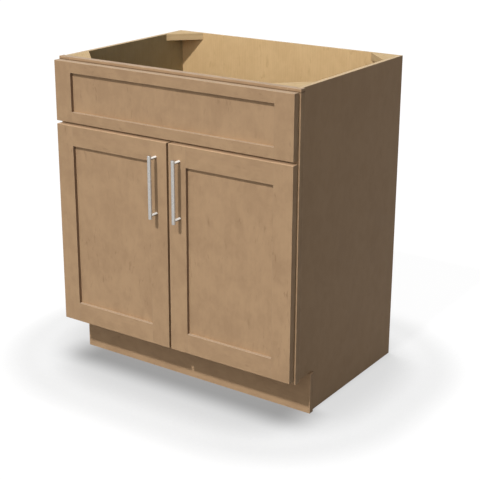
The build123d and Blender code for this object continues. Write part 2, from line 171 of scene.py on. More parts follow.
# Noise, in waves per metre along X, Y and Z; a board's grain and a metal's scratches run along Z
WANDER_WAVES = (9, 9, 2.2)
WIDE_WAVES = (11, 11, 8)
NEAR_WAVES = (40, 40, 28)
FIBRE_WAVES = (620, 620, 11)
FLECK_WAVES = (120, 120, 34)
GATHER_WAVES = (24, 24, 10)
WEAR_WAVES = (55, 55, 55)
LAYER_WAVES = (14, 14, 14)
SPECKLE_WAVES = (900, 900, 900)
HANDLING_WAVES = (110, 110, 60)
RUBBER_WAVES = (420, 420, 420)

# Values of a noise between which what it drives sets in
NOISE_RANGE = (0.3, 0.7)
MIDDLE_RANGE = (0.35, 0.65)
CLOUDING_RANGE = (0.36, 0.66)
FLECK_RANGE = (0.60, 0.74)
GATHER_RANGE = (0.42, 0.68)
RUBBER_RANGE = (0.35, 0.7)

# Share of the wider clouds in the clouding, of scratches in brushed metal, and of end grain that shows
# where it has fewest speckles; depth of flecks against that of fibres
WIDE_SHARE = 0.55
SCRATCH_SHARE = 0.6
LEAST_SPECKLE = 0.55
FLECK_DEPTH = 0.6

# Shares of each part of the grain in a board's tone, and the spacing of its growth lines in metres
STAINED_GRAIN = dict(Clouding=0.34, Growth_lines=0.03, Fibres=0.06, Flecks=0.40, Line_spacing=0.011)
SKIN_GRAIN = dict(Clouding=0.16, Growth_lines=0.01, Fibres=0.04, Flecks=0.16, Line_spacing=0.011)
PLYWOOD_GRAIN = dict(Clouding=0.22, Growth_lines=0.08, Fibres=0.30, Flecks=0.32, Line_spacing=0.006)
INNER_GRAIN = dict(Clouding=0.20, Growth_lines=0.08, Fibres=0.25, Flecks=0.30, Line_spacing=0.006)
SAWN_GRAIN = dict(Clouding=0.25, Growth_lines=0.18, Fibres=0.35, Flecks=0.20, Line_spacing=0.007)

# Rubbed edges: their width on stained and on sawn boards, and its least and greatest share by noise
STAINED_WEAR_WIDTH = 1.6 * MILLIMETRE
SAWN_WEAR_WIDTH = 1.2 * MILLIMETRE
WEAR_REACH = (0.35, 1.25)

# Plywood: its layers and their wander in layers, the depths between which a face's veneer ends, and
# the stained skin of the sides
PLYWOOD_LAYERS = 7
SIDE_LAYERS = 9
LAYER_WANDER = 0.5
VENEER = (0.25 * MILLIMETRE, 0.45 * MILLIMETRE)
SKIN_DEPTH = 0.5 * MILLIMETRE
SKIN_BLUR = 0.2 * MILLIMETRE

# Least and greatest roughness
STAINED_ROUGHNESS = (0.40, 0.52)
PLYWOOD_ROUGHNESS = (0.46, 0.58)
SIDE_ROUGHNESS = (0.42, 0.55)
SAWN_ROUGHNESS = (0.60, 0.75)
BAR_ROUGHNESS = (0.24, 0.32)
POST_ROUGHNESS = (0.30, 0.42)
STEEL_ROUGHNESS = (0.22, 0.36)
ZINC_ROUGHNESS = (0.28, 0.45)
RUBBER_ROUGHNESS = (0.30, 0.50)

# Relief: its depth, and how strongly it shows
STAINED_RELIEF = (0.06 * MILLIMETRE, 0.35)
PLYWOOD_RELIEF = (0.08 * MILLIMETRE, 0.40)
SAWN_RELIEF = (0.10 * MILLIMETRE, 0.50)
BAR_RELIEF = (0.02 * MILLIMETRE, 0.10)
METAL_RELIEF = (0.02 * MILLIMETRE, 0.25)
RUBBER_RELIEF = (0.03 * MILLIMETRE, 0.30)

# Scratches in metal, in waves per metre across and along them
NICKEL_SCRATCHES = (3000.0, 40.0)
STEEL_SCRATCHES = (900.0, 300.0)
ZINC_SCRATCHES = (1500.0, 900.0)

# Clear rubber
RUBBER_CLARITY = 0.55
RUBBER_INDEX = 1.45


def from_screen(red, green, blue):
    """Returns the linear colour of a colour given as it shows on a screen, 0 to 255."""
    shown = np.array([red, green, blue]) / 255
    linear = np.where(shown <= 0.04045, shown / 12.92, ((shown + 0.055) / 1.055) ** 2.4)
    return (*[float(value) for value in linear], 1.0)


STAIN_PALE = from_screen(178, 147, 114)
STAIN_DARK = from_screen(141, 112, 86)
# Paler wood of rubbed edges, also a painted highlight on the face frame's stiles
STAIN_WORN_AND_HIGHLIGHT = from_screen(198, 168, 134)
# Dark colour of the painted shade on the frame above the false front
PAINTED_CREVICE_SHADE = from_screen(88, 66, 48)
# Grey-brown colour of the painted shade on the stiles' edges beside the panels
PAINTED_RECESS_SHADE = from_screen(92, 84, 80)
# Pale colour of the painted highlight on boards' upper faces
UPPER_HIGHLIGHT = from_screen(232, 214, 190)
NATURAL_PALE = from_screen(218, 186, 138)
NATURAL_DARK = from_screen(178, 141, 95)
# The sides' bare inner faces: plywood painted darker and greyer than the back's, a painted shade
SHADED_INNER_PALE = from_screen(174, 160, 127)
SHADED_INNER_DARK = from_screen(141, 122, 91)
LAYER_PALE = from_screen(218, 194, 154)
LAYER_DARK = from_screen(186, 152, 108)
BLOCK_PALE = from_screen(212, 184, 140)
BLOCK_DARK = from_screen(176, 142, 98)
BEECH_PALE = from_screen(214, 180, 140)
BEECH_DARK = from_screen(178, 138, 100)
NICKEL_PALE = from_screen(187, 185, 181)
NICKEL_DARK = from_screen(177, 174, 170)
POST_PALE = from_screen(214, 213, 209)
POST_DARK = from_screen(202, 201, 197)
# Painted light on the posts' upper sides and painted shade on their undersides
POST_LIGHT = from_screen(250, 249, 245)
POST_PAINTED_SHADE = from_screen(128, 118, 104)
BLACK = from_screen(0, 0, 0)
WHITE = from_screen(255, 255, 255)
STEEL_PALE = from_screen(206, 204, 200)
STEEL_DARK = from_screen(160, 158, 155)
ZINC_PALE = from_screen(200, 202, 205)
ZINC_DARK = from_screen(150, 152, 156)
RUBBER_PALE = from_screen(236, 236, 230)
RUBBER_DARK = from_screen(214, 213, 205)


def add(tree, kind, inputs=None, **options):
    """Adds a node to a tree, sets its options, and fills its inputs with values or links."""
    made = tree.nodes.new(kind)
    for option, value in options.items():
        setattr(made, option, value)
    for socket, value in (inputs or {}).items():
        if isinstance(value, bpy.types.NodeSocket):
            tree.links.new(value, made.inputs[socket])
        else:
            made.inputs[socket].default_value = value
    return made


def maths(tree, operation, first, second=0.0, third=0.0, clamp=False):
    """Returns the result of an operation on numbers, such as MULTIPLY_ADD, as a node's output."""
    inputs = {0: first, 1: second, 2: third}
    return add(tree, "ShaderNodeMath", inputs, operation=operation, use_clamp=clamp).outputs[0]


def vectors(tree, operation, first, second=(0, 0, 0)):
    """Returns the result of an operation on vectors as a node's output."""
    return add(tree, "ShaderNodeVectorMath", {0: first, 1: second}, operation=operation).outputs[0]


def ramp(tree, value, low, high, start=0.0, end=1.0):
    """Returns a value that eases from start to end as another goes from low to high."""
    fields = {"Value": value, "From Min": low, "From Max": high, "To Min": start, "To Max": end}
    return add(tree, "ShaderNodeMapRange", fields, interpolation_type="SMOOTHSTEP").outputs["Result"]


def cloud(tree, place, per_metre, detail=2.0, roughness=0.5, distortion=0.0):
    """Returns soft noise whose waves per metre are given along each axis."""
    stretched = vectors(tree, "MULTIPLY", place, per_metre)
    fields = {"Vector": stretched, "Scale": 1.0, "Detail": detail, "Roughness": roughness,
              "Distortion": distortion}
    return add(tree, "ShaderNodeTexNoise", fields).outputs["Fac"]


def blend(tree, share, first, second):
    """Returns a colour between two others."""
    made = add(tree, "ShaderNodeMix", {0: share, 6: first, 7: second}, data_type="RGBA")
    return made.outputs[2]


def effect(name, inputs, outputs):
    """Makes an empty node group with named inputs and outputs, and returns it with both its ends.

    The inputs are given as name: (kind, value).
    """
    group = bpy.data.node_groups.new(name, "ShaderNodeTree")
    for label, (kind, value) in inputs.items():
        socket = group.interface.new_socket(label, in_out="INPUT", socket_type=f"NodeSocket{kind}")
        socket.default_value = value
    for label in outputs:
        group.interface.new_socket(label, in_out="OUTPUT", socket_type="NodeSocketFloat")
    start = group.nodes.new("NodeGroupInput").outputs
    end = group.nodes.new("NodeGroupOutput").inputs
    return group, start, end


def board_grain():
    """The figure of a board whose grain runs along Z.

    Growth lines are waves of the distance from a leaning heart line beside the board. Clouding is
    slow noise, fibres are noise drawn out along the grain, and flecks are the peaks of a shorter
    noise. Tone is the weighted sum of these, from pale to dark. Height is the fibres less a part of
    the flecks, and Sheen is the mean of the fibres and the finer clouding.
    """
    group, start, end = effect("board grain", {
        "Place": ("Vector", (0, 0, 0)),
        "Clouding": ("Float", 0.5),
        "Growth lines": ("Float", 0.2),
        "Fibres": ("Float", 0.2),
        "Flecks": ("Float", 0.4),
        "Line spacing": ("Float", 0.009),
    }, ["Tone", "Height", "Sheen"])
    place = start["Place"]

    from_heart = vectors(group, "ADD", vectors(group, "MULTIPLY", place, HEART_LEAN), HEART_PLACE)
    radius = add(group, "ShaderNodeVectorMath", {0: from_heart}, operation="LENGTH").outputs["Value"]
    wander = maths(group, "MULTIPLY", cloud(group, place, WANDER_WAVES, detail=3.0), LINE_WANDER)
    turns = maths(group, "DIVIDE", maths(group, "ADD", radius, wander), start["Line spacing"])
    swing = maths(group, "SINE", maths(group, "MULTIPLY", turns, 2 * math.pi))
    line = maths(group, "POWER", maths(group, "MULTIPLY_ADD", swing, 0.5, 0.5), LINE_SHARPNESS)

    wide = cloud(group, place, WIDE_WAVES, detail=4.0, roughness=0.55, distortion=0.6)
    near = cloud(group, place, NEAR_WAVES, detail=3.0, roughness=0.6, distortion=0.4)
    both = maths(group, "MULTIPLY_ADD", near, 1 - WIDE_SHARE, maths(group, "MULTIPLY", wide, WIDE_SHARE))
    clouding = ramp(group, both, *CLOUDING_RANGE)
    fibre = cloud(group, place, FIBRE_WAVES, detail=3.0, roughness=0.6)
    peaks = cloud(group, place, FLECK_WAVES, detail=1.5, distortion=0.8)
    gathered = ramp(group, cloud(group, place, GATHER_WAVES, detail=1.0), *GATHER_RANGE)
    fleck = maths(group, "MULTIPLY", ramp(group, peaks, *FLECK_RANGE), gathered)

    tone = maths(group, "MULTIPLY", clouding, start["Clouding"])
    tone = maths(group, "MULTIPLY_ADD", line, start["Growth lines"], tone)
    tone = maths(group, "MULTIPLY_ADD", maths(group, "SUBTRACT", fibre, 0.5), start["Fibres"], tone)
    tone = maths(group, "MULTIPLY_ADD", fleck, start["Flecks"], tone, clamp=True)
    height = maths(group, "SUBTRACT", fibre, maths(group, "MULTIPLY", fleck, FLECK_DEPTH))
    sheen = maths(group, "MULTIPLY_ADD", near, 0.5, maths(group, "MULTIPLY", fibre, 0.5))
    group.links.new(tone, end["Tone"])
    group.links.new(height, end["Height"])
    group.links.new(sheen, end["Sheen"])
    return group


def edge_wear():
    """Rubbing along the edges of a box-shaped board.

    Each axis gives the distance to the nearer of its two faces. On a face the smallest of the three
    is nothing and the middle one is the distance to the nearest edge, so Wear falls off with the
    middle one, sooner where a slow noise is low.
    """
    group, start, end = effect("edge wear", {
        "Place": ("Vector", (0, 0, 0)),
        "Low": ("Vector", (0, 0, 0)),
        "High": ("Vector", (1, 1, 1)),
        "Width": ("Float", 0.002),
    }, ["Wear"])
    place = start["Place"]
    nearer = vectors(group, "MINIMUM", vectors(group, "SUBTRACT", place, start["Low"]),
                     vectors(group, "SUBTRACT", start["High"], place))
    parts = add(group, "ShaderNodeSeparateXYZ", {"Vector": nearer}).outputs
    least = maths(group, "MINIMUM", parts["X"], parts["Y"])
    most = maths(group, "MAXIMUM", parts["X"], parts["Y"])
    middle = maths(group, "MAXIMUM", least, maths(group, "MINIMUM", most, parts["Z"]))
    reach = ramp(group, cloud(group, place, WEAR_WAVES), *MIDDLE_RANGE, *WEAR_REACH)
    share = maths(group, "DIVIDE", middle, maths(group, "MULTIPLY", start["Width"], reach))
    group.links.new(ramp(group, share, 0.0, 1.0, 1.0, 0.0), end["Wear"])
    return group


def ply_layers():
    """The layers of plywood, seen on its edges.

    Depth through the board is divided by the layer's thickness, with a slow wander, and every other
    layer is end grain, which is darker and speckled.
    """
    group, start, end = effect("ply layers", {
        "Place": ("Vector", (0, 0, 0)),
        "Depth": ("Float", 0.0),
        "Layer": ("Float", 0.0018),
    }, ["Layer", "Height"])
    place = start["Place"]
    wander = maths(group, "MULTIPLY_ADD", cloud(group, place, LAYER_WAVES), LAYER_WANDER, -LAYER_WANDER / 2)
    count = maths(group, "ADD", maths(group, "DIVIDE", start["Depth"], start["Layer"]), wander)
    odd = ramp(group, maths(group, "PINGPONG", count, 1.0), *MIDDLE_RANGE)
    speckle = cloud(group, place, SPECKLE_WAVES, roughness=0.6)
    layer = maths(group, "MULTIPLY", odd, ramp(group, speckle, *NOISE_RANGE, LEAST_SPECKLE, 1.0))
    group.links.new(layer, end["Layer"])
    group.links.new(maths(group, "SUBTRACT", speckle, odd), end["Height"])
    return group


def brushing():
    """Fine scratches drawn out along Z, and the slow clouding that handling leaves on metal."""
    group, start, end = effect("brushing", {
        "Place": ("Vector", (0, 0, 0)),
        "Across": ("Float", 2600.0),
        "Along": ("Float", 60.0),
    }, ["Scratch", "Clouding"])
    waves = {"X": start["Across"], "Y": start["Across"], "Z": start["Along"]}
    stretch = add(group, "ShaderNodeCombineXYZ", waves).outputs[0]
    scratch = cloud(group, start["Place"], stretch, detail=3.0, roughness=0.65)
    handled = cloud(group, start["Place"], HANDLING_WAVES, detail=3.0, roughness=0.6)
    group.links.new(scratch, end["Scratch"])
    group.links.new(handled, end["Clouding"])
    return group


GRAIN = board_grain()
WEAR = edge_wear()
LAYERS = ply_layers()
BRUSH = brushing()

# Turns that bring a board's grain, or a metal's scratches, to lie along Z
ALONG_X = (0.0, -QUARTER_TURN, 0.0)
ALONG_Y = (QUARTER_TURN, 0.0, 0.0)
ALONG_Z = (0.0, 0.0, 0.0)
DIAGONAL_DOWN = (-QUARTER_TURN, -QUARTER_TURN / 2, 0.0)
DIAGONAL_UP = (QUARTER_TURN, -QUARTER_TURN / 2, 0.0)

shifts = np.random.default_rng(PATTERN_SEED)


def new_material(name):
    """Makes a material and returns it with its tree, its shader and the part's own coordinates."""
    material = bpy.data.materials.new(name)
    material.use_nodes = True
    tree = material.node_tree
    tree.nodes.clear()
    shader = tree.nodes.new("ShaderNodeBsdfPrincipled")
    output = tree.nodes.new("ShaderNodeOutputMaterial")
    tree.links.new(shader.outputs[0], output.inputs["Surface"])
    place = tree.nodes.new("ShaderNodeTexCoord").outputs["Object"]
    return material, tree, shader, place


def placed(tree, group, **inputs):
    """Places an effect in a material, with its inputs named with underscores for spaces."""
    made = tree.nodes.new("ShaderNodeGroup")
    made.node_tree = group
    for label, value in inputs.items():
        socket = made.inputs[label.replace("_", " ")]
        if isinstance(value, bpy.types.NodeSocket):
            tree.links.new(value, socket)
        else:
            socket.default_value = value
    return made.outputs


def along_grain(tree, place, turn):
    """Returns coordinates with the grain along Z, moved to a part of the pattern of the board's own."""
    shift = shifts.uniform(-PATTERN_REACH, PATTERN_REACH, 3)
    fields = {"Vector": place, "Location": shift.tolist(), "Rotation": turn}
    return add(tree, "ShaderNodeMapping", fields).outputs[0]


def relief(tree, shader, height, depth, strength):
    """Gives a shader a relief of so many metres."""
    bump = add(tree, "ShaderNodeBump", {"Height": height, "Distance": depth, "Strength": strength})
    tree.links.new(bump.outputs[0], shader.inputs["Normal"])


def panel_edge(name, low, high):
    """Returns where a stile's edge toward its panel is, and 1 where that is to the right, or -1."""
    panel = name.rsplit("_", 2)[0] + "_panel"
    panel_low, panel_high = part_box(panel)
    if panel_low[0] + panel_high[0] > low[0] + high[0]:
        return high[0], 1.0
    return low[0], -1.0


def wood_surface(tree, shader, colour, sheen, roughness, height, depth_and_strength):
    """Gives a shader a wood's colour and relief, and a roughness that goes with its sheen."""
    tree.links.new(colour, shader.inputs["Base Color"])
    tree.links.new(ramp(tree, sheen, *NOISE_RANGE, *roughness), shader.inputs["Roughness"])
    shader.inputs["Specular IOR Level"].default_value = WOOD_GLOSS
    relief(tree, shader, height, *depth_and_strength)


def stained_board(name, turn, dust):
    """Stained and lacquered maple: blotched stain, paler rubbed edges, and a painted highlight on upper
    faces.

    On the frame a painted shade darkens the stain where the false front's top ends, and thins out
    above it. On the stiles of the fronts a painted shade darkens the edge toward the panel. The doors'
    upper faces glow a little: painted light.
    """
    material, tree, shader, place = new_material(f"stained {name}")
    low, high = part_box(name)
    grain = placed(tree, GRAIN, Place=along_grain(tree, place, turn), **STAINED_GRAIN)
    wear = placed(tree, WEAR, Place=place, Low=tuple(low), High=tuple(high), Width=STAINED_WEAR_WIDTH)
    # On the face frame's stiles the paler edges are partly real wear and partly a painted highlight
    rubbed = STILE_WEAR_AND_HIGHLIGHT if name.startswith("frame") and name.endswith("stile") else EDGE_WEAR
    colour = blend(tree, grain["Tone"], STAIN_PALE, STAIN_DARK)
    colour = blend(tree, maths(tree, "MULTIPLY", wear["Wear"], rubbed), colour, STAIN_WORN_AND_HIGHLIGHT)
    split = add(tree, "ShaderNodeSeparateXYZ", {"Vector": place}).outputs
    level = split["Z"]
    # Painted highlight: the upper face is blended toward a pale colour by the share given in dust
    upper = ramp(tree, level, high[2] - TOP_FACE_DEPTH, high[2] - TOP_FACE_DEPTH / 3)
    colour = blend(tree, maths(tree, "MULTIPLY", upper, dust), colour, UPPER_HIGHLIGHT)
    if name.startswith("frame"):
        # Painted shade: the frame is darkened where the false front's top meets it, thinning out above
        front_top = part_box("false_front_top_rail")[1][2]
        crevice_shade = ramp(tree, level, front_top, front_top + CREVICE_SHADE_RISE, CREVICE_SHADE_SHARE, 0.0)
        crevice_shade = maths(tree, "MULTIPLY", crevice_shade, ramp(tree, level, front_top - 2 * CREVICE_SHADE_RISE, front_top))
        colour = blend(tree, crevice_shade, colour, PAINTED_CREVICE_SHADE)
    elif name.endswith("stile"):
        # Painted shade: the stile's edge toward its panel is darkened
        edge, inward = panel_edge(name, low, high)
        within = maths(tree, "MULTIPLY", maths(tree, "SUBTRACT", edge, split["X"]), inward)
        gathered = ramp(tree, within, RECESS_SHADE_DEPTH / 5, RECESS_SHADE_DEPTH, RECESS_SHADE_SHARE, 0.0)
        colour = blend(tree, gathered, colour, PAINTED_RECESS_SHADE)
    # Painted light: the doors' upper faces glow with their own colour
    if "door" in name and not name.endswith("bottom_rail"):
        tree.links.new(blend(tree, upper, BLACK, colour), shader.inputs["Emission Color"])
        shader.inputs["Emission Strength"].default_value = PAINTED_GAP_GLOW
    wood_surface(tree, shader, colour, grain["Sheen"], STAINED_ROUGHNESS, grain["Height"], STAINED_RELIEF)
    return material


def natural_board(name, turn):
    """Clear-coated plywood: a fine straight grain on the faces and its layers on the edges.

    The least of the board's three sizes is its thickness, and depth runs along it from face to face.
    """
    material, tree, shader, place = new_material(f"plywood {name}")
    low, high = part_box(name)
    sizes = [end - start for start, end in zip(low, high)]
    thickness = min(sizes)
    axis = sizes.index(thickness)
    grain = placed(tree, GRAIN, Place=along_grain(tree, place, turn), **PLYWOOD_GRAIN)
    across = add(tree, "ShaderNodeSeparateXYZ", {"Vector": place}).outputs[axis]
    depth = maths(tree, "SUBTRACT", across, low[axis])
    ply = placed(tree, LAYERS, Place=place, Depth=depth, Layer=thickness / PLYWOOD_LAYERS)
    from_face = maths(tree, "MINIMUM", depth, maths(tree, "SUBTRACT", thickness, depth))
    inside = ramp(tree, from_face, *VENEER)
    face = blend(tree, grain["Tone"], NATURAL_PALE, NATURAL_DARK)
    edge = blend(tree, ply["Layer"], LAYER_PALE, LAYER_DARK)
    colour = blend(tree, inside, face, edge)
    height = add(tree, "ShaderNodeMix", {0: inside, 2: grain["Height"], 3: ply["Height"]}).outputs[0]
    wood_surface(tree, shader, colour, grain["Sheen"], PLYWOOD_ROUGHNESS, height, PLYWOOD_RELIEF)
    return material


def side_board(name, outward):
    """A side of plywood with a stained outer skin; outward is -1 on the left and 1 on the right.

    Depth runs from the inner face, where the veneer is bare, to the stained skin. The bare inner face
    is painted darker and greyer than the back's plywood, as painted shade.
    """
    material, tree, shader, place = new_material(f"side {name}")
    low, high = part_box(name)
    board = along_grain(tree, place, ALONG_Z)
    stain = placed(tree, GRAIN, Place=board, **SKIN_GRAIN)
    natural = placed(tree, GRAIN, Place=board, **INNER_GRAIN)
    thickness = high[0] - low[0]
    inner_face = low[0] if outward > 0 else high[0]
    across = add(tree, "ShaderNodeSeparateXYZ", {"Vector": place}).outputs["X"]
    depth = maths(tree, "MULTIPLY", maths(tree, "SUBTRACT", across, inner_face), outward)
    ply = placed(tree, LAYERS, Place=place, Depth=depth, Layer=thickness / SIDE_LAYERS)
    skin = ramp(tree, depth, thickness - SKIN_DEPTH, thickness - SKIN_DEPTH + SKIN_BLUR)
    inside = ramp(tree, depth, *VENEER)
    stained = blend(tree, stain["Tone"], STAIN_PALE, STAIN_DARK)
    # Painted shade: the bare inner face takes the darker, greyer plywood colour
    bare = blend(tree, natural["Tone"], SHADED_INNER_PALE, SHADED_INNER_DARK)
    edge = blend(tree, ply["Layer"], LAYER_PALE, LAYER_DARK)
    colour = blend(tree, skin, blend(tree, inside, bare, edge), stained)
    wood_surface(tree, shader, colour, stain["Sheen"], SIDE_ROUGHNESS, stain["Height"], STAINED_RELIEF)
    return material


def sawn_board(name, turn, pale, dark):
    """Bare solid wood, as of the corner blocks and dowels: open grain and rubbed edges."""
    material, tree, shader, place = new_material(f"bare {name}")
    low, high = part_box(name)
    grain = placed(tree, GRAIN, Place=along_grain(tree, place, turn), **SAWN_GRAIN)
    wear = placed(tree, WEAR, Place=place, Low=tuple(low), High=tuple(high), Width=SAWN_WEAR_WIDTH)
    colour = blend(tree, grain["Tone"], pale, dark)
    colour = blend(tree, maths(tree, "MULTIPLY", wear["Wear"], SAWN_WEAR), colour, LAYER_PALE)
    wood_surface(tree, shader, colour, grain["Sheen"], SAWN_ROUGHNESS, grain["Height"], SAWN_RELIEF)
    return material


def brushed(tree, shader, place, turn, pale, dark, scratches, roughness, depth_and_strength):
    """Gives a shader the roughness and scratches of brushed metal, and returns the metal's colour."""
    turned = add(tree, "ShaderNodeMapping", {"Vector": place, "Rotation": turn}).outputs[0]
    across, along = scratches
    brush = placed(tree, BRUSH, Place=turned, Across=across, Along=along)
    clouded = maths(tree, "MULTIPLY", brush["Clouding"], 1 - SCRATCH_SHARE)
    share = maths(tree, "MULTIPLY_ADD", brush["Scratch"], SCRATCH_SHARE, clouded)
    tree.links.new(ramp(tree, share, *NOISE_RANGE, *roughness), shader.inputs["Roughness"])
    relief(tree, shader, brush["Scratch"], *depth_and_strength)
    return blend(tree, ramp(tree, share, *NOISE_RANGE), pale, dark)


def brushed_metal(name, turn, pale, dark, scratches, roughness):
    """Plated metal with scratches along its length, duller where it is handled."""
    material, tree, shader, place = new_material(name)
    colour = brushed(tree, shader, place, turn, pale, dark, scratches, roughness, METAL_RELIEF)
    tree.links.new(colour, shader.inputs["Base Color"])
    shader.inputs["Metallic"].default_value = 1.0
    return material


def bar_metal():
    """Brushed bars, whose edges glow a little: painted light standing for the light that the doors throw
    back.

    Aside is the distance from the axis of the nearer bar, both being as far from the middle.
    """
    material, tree, shader, place = new_material("satin nickel bars")
    low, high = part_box("right_pull_bar")
    radius = (high[0] - low[0]) / 2
    across = add(tree, "ShaderNodeSeparateXYZ", {"Vector": place}).outputs["X"]
    outward = maths(tree, "ABSOLUTE", across)
    aside = maths(tree, "ABSOLUTE", maths(tree, "SUBTRACT", outward, (low[0] + high[0]) / 2))
    edge = ramp(tree, aside, BAR_EDGE_START * radius, BAR_EDGE_END * radius)
    colour = brushed(tree, shader, place, ALONG_Z, NICKEL_PALE, NICKEL_DARK, NICKEL_SCRATCHES,
                     BAR_ROUGHNESS, BAR_RELIEF)
    tree.links.new(colour, shader.inputs["Base Color"])
    # Painted light: the bars' edges glow a pale colour
    tree.links.new(blend(tree, edge, BLACK, NICKEL_PALE), shader.inputs["Emission Color"])
    shader.inputs["Metallic"].default_value = BAR_METALLIC
    shader.inputs["Emission Strength"].default_value = PAINTED_BAR_EDGE_GLOW
    return material


def post_metal():
    """Bright posts, whose upper sides glow with painted light and whose undersides are painted dark as
    shade.

    Above is the height over the axis of the nearer of the two levels of posts: the height over the
    middle between them, less half their spacing on its side.
    """
    material, tree, shader, place = new_material("satin nickel posts")
    low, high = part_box("left_pull_posts")
    radius = (high[0] - low[0]) / 2
    half_spacing = (high[2] - low[2]) / 2 - radius
    level = add(tree, "ShaderNodeSeparateXYZ", {"Vector": place}).outputs["Z"]
    height = maths(tree, "SUBTRACT", level, (low[2] + high[2]) / 2)
    nearer = maths(tree, "MULTIPLY", maths(tree, "SIGN", height), half_spacing)
    above = maths(tree, "SUBTRACT", height, nearer)
    upper = ramp(tree, above, POST_SHADE_END * radius, POST_LIGHT_START * radius)
    colour = brushed(tree, shader, place, ALONG_Y, POST_PALE, POST_DARK, NICKEL_SCRATCHES,
                     POST_ROUGHNESS, METAL_RELIEF)
    # Painted shade below each post's axis and painted light above it
    tree.links.new(blend(tree, upper, POST_PAINTED_SHADE, colour), shader.inputs["Base Color"])
    tree.links.new(blend(tree, upper, BLACK, POST_LIGHT), shader.inputs["Emission Color"])
    shader.inputs["Metallic"].default_value = POST_METALLIC
    shader.inputs["Emission Strength"].default_value = POST_PAINTED_GLOW
    return material


def clear_rubber():
    """Cloudy clear rubber with a dull skin that holds a little dust."""
    material, tree, shader, place = new_material("clear rubber")
    dust = cloud(tree, place, RUBBER_WAVES, detail=3.0, roughness=0.6)
    colour = blend(tree, ramp(tree, dust, *RUBBER_RANGE), RUBBER_PALE, RUBBER_DARK)
    tree.links.new(colour, shader.inputs["Base Color"])
    tree.links.new(ramp(tree, dust, *NOISE_RANGE, *RUBBER_ROUGHNESS), shader.inputs["Roughness"])
    shader.inputs["Transmission Weight"].default_value = RUBBER_CLARITY
    shader.inputs["IOR"].default_value = RUBBER_INDEX
    relief(tree, shader, dust, *RUBBER_RELIEF)
    return material


def give(name, material):
    """Gives a node of the frame a material in each of its slots."""
    for place in nodes[name].material_slots:
        place.material = material


def ease(name, width):
    """Eases a node's sharp edges: its corners are joined, then bevelled and shaded by area."""
    piece = nodes[name]
    weld = piece.modifiers.new("join", "WELD")
    weld.merge_threshold = WELD_REACH
    bevel = piece.modifiers.new("easing", "BEVEL")
    bevel.width = width
    bevel.segments = BEVEL_STEPS
    bevel.limit_method = "ANGLE"
    bevel.angle_limit = EASING_ANGLE
    bevel.use_clamp_overlap = True
    shading = piece.modifiers.new("shading", "WEIGHTED_NORMAL")
    shading.keep_sharp = False


def put_mesh(name, points, faces, material, body, slot):
    """Makes a piece from points and faces, and lets it ride on a body."""
    mesh = bpy.data.meshes.new(name)
    mesh.from_pydata(points.tolist(), [], faces)
    mesh.polygons.foreach_set("use_smooth", np.ones(len(mesh.polygons), dtype=bool))
    mesh.materials.append(material)
    mesh.update()
    piece = bpy.data.objects.new(name, mesh)
    bpy.context.scene.collection.objects.link(piece)
    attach(piece, body)
    return piece


def turned_points(radii, heights, segments, origin, axis, side):
    """Returns the points and faces of a turned surface that closes in a point at both ends.

    A point lies at origin + axis * height + radius * (side * cos(angle) + other * sin(angle)),
    where other is the cross product of axis and side. Rings are the profile's inner points.
    """
    other = np.cross(axis, side)
    angles = np.arange(segments) * 2 * math.pi / segments
    spokes = np.cos(angles)[:, None] * side + np.sin(angles)[:, None] * other
    rings = origin + heights[1:-1, None, None] * axis + radii[1:-1, None, None] * spokes
    ends = origin + heights[[0, -1], None] * axis
    points = np.vstack([rings.reshape(-1, 3), ends])

    count = len(radii) - 2
    here = np.arange(segments)
    after = (here + 1) % segments
    starts = np.arange(count - 1)[:, None] * segments
    lower = [starts + here, starts + after]
    upper = [corner + segments for corner in reversed(lower)]
    walls = np.stack(lower + upper, axis=-1)
    first = count * segments
    last = first - segments
    bottom = np.stack([after, here, np.full(segments, first)], axis=-1)
    top = np.stack([last + here, last + after, np.full(segments, first + 1)], axis=-1)
    return points, walls.reshape(-1, 4).tolist() + bottom.tolist() + top.tolist()


def joined(shapes):
    """Returns several shapes' points and faces as one list of each."""
    points = []
    faces = []
    start = 0
    for shape_points, shape_faces in shapes:
        points.append(shape_points)
        faces += [[start + corner for corner in face] for face in shape_faces]
        start += len(shape_points)
    return np.vstack(points), faces


def rounded_rod(radius, length, easing, crown):
    """Returns the profile of a rod: crowned ends, quarter-round edges and a straight middle.

    Along each quarter round the radius is radius - easing * (1 - sin(turn)) and the height rises by
    easing * (1 - cos(turn)), above a crown that falls as the square of the radius.
    """
    turn = np.linspace(0, QUARTER_TURN, EASING_STEPS)
    flat = np.linspace(0, radius - easing, EASING_STEPS)[:-1]
    end_radii = np.concatenate([flat, radius - easing * (1 - np.sin(turn))])
    end_heights = np.concatenate([
        crown * (flat / (radius - easing)) ** 2,
        crown + easing * (1 - np.cos(turn)),
    ])
    middle = np.linspace(end_heights[-1], length - end_heights[-1], 2 * EASING_STEPS)[1:-1]
    radii = np.concatenate([end_radii, np.full(len(middle), radius), end_radii[::-1]])
    heights = np.concatenate([end_heights, middle, length - end_heights[::-1]])
    return radii, heights


